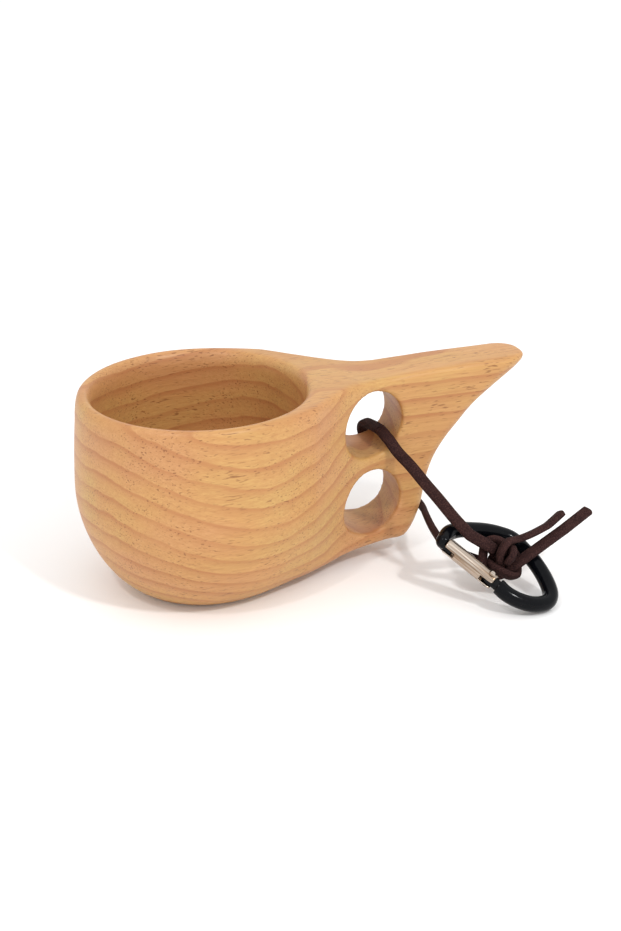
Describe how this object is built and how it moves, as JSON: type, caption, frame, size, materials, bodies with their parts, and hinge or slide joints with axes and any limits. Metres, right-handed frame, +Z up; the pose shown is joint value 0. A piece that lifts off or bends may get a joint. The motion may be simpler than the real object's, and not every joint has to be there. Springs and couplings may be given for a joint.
{
  "type": "wooden cup",
  "caption": "Round-bellied wooden drinking cup with a flat handle pierced by finger holes, and a leather lanyard with a small black snap carabiner.",
  "frame": {"origin": "centre of the flat base that the bowl stands on, on the bowl's own axis", "axes": "+Z up along the bowl's axis, +X from the bowl towards the tip of the handle, +Y to the left of the handle"},
  "size_m": [0.1658, 0.1061, 0.0684],
  "materials": {
    "wood": "oiled satin",
    "leather": "matt suede-like lace",
    "black_metal": "glossy black anodised",
    "bright_metal": "polished"
  },
  "bodies": {
    "cup": {"cup_body": "wood"},
    "lanyard": {"lace_loop": "leather", "lace_knot": "leather", "lace_tail_a": "leather", "lace_tail_b": "leather", "carabiner_frame": "black_metal", "gate_hinge_rivet": "bright_metal"},
    "gate": {"carabiner_gate": "bright_metal", "gate_latch_pin": "bright_metal", "gate_spring": "bright_metal", "gate_plunger": "bright_metal"}
  },
  "joints": [
    {"name": "lanyard_swing", "type": "hinge", "parent": "cup", "child": "lanyard", "pos_m": [0.0566, 0, 0.0517], "axis": [0, -1, 0], "range_deg": [0, 45]},
    {"name": "gate_hinge", "type": "hinge", "parent": "lanyard", "child": "gate", "pos_m": [0.08128, -0.05366, 0.01083], "axis": [-0.1952, 0.4557, -0.8685], "range_deg": [0, 17], "stiffness_Nm_per_rad": 0.02, "springref_deg": -11.46}
  ]
}
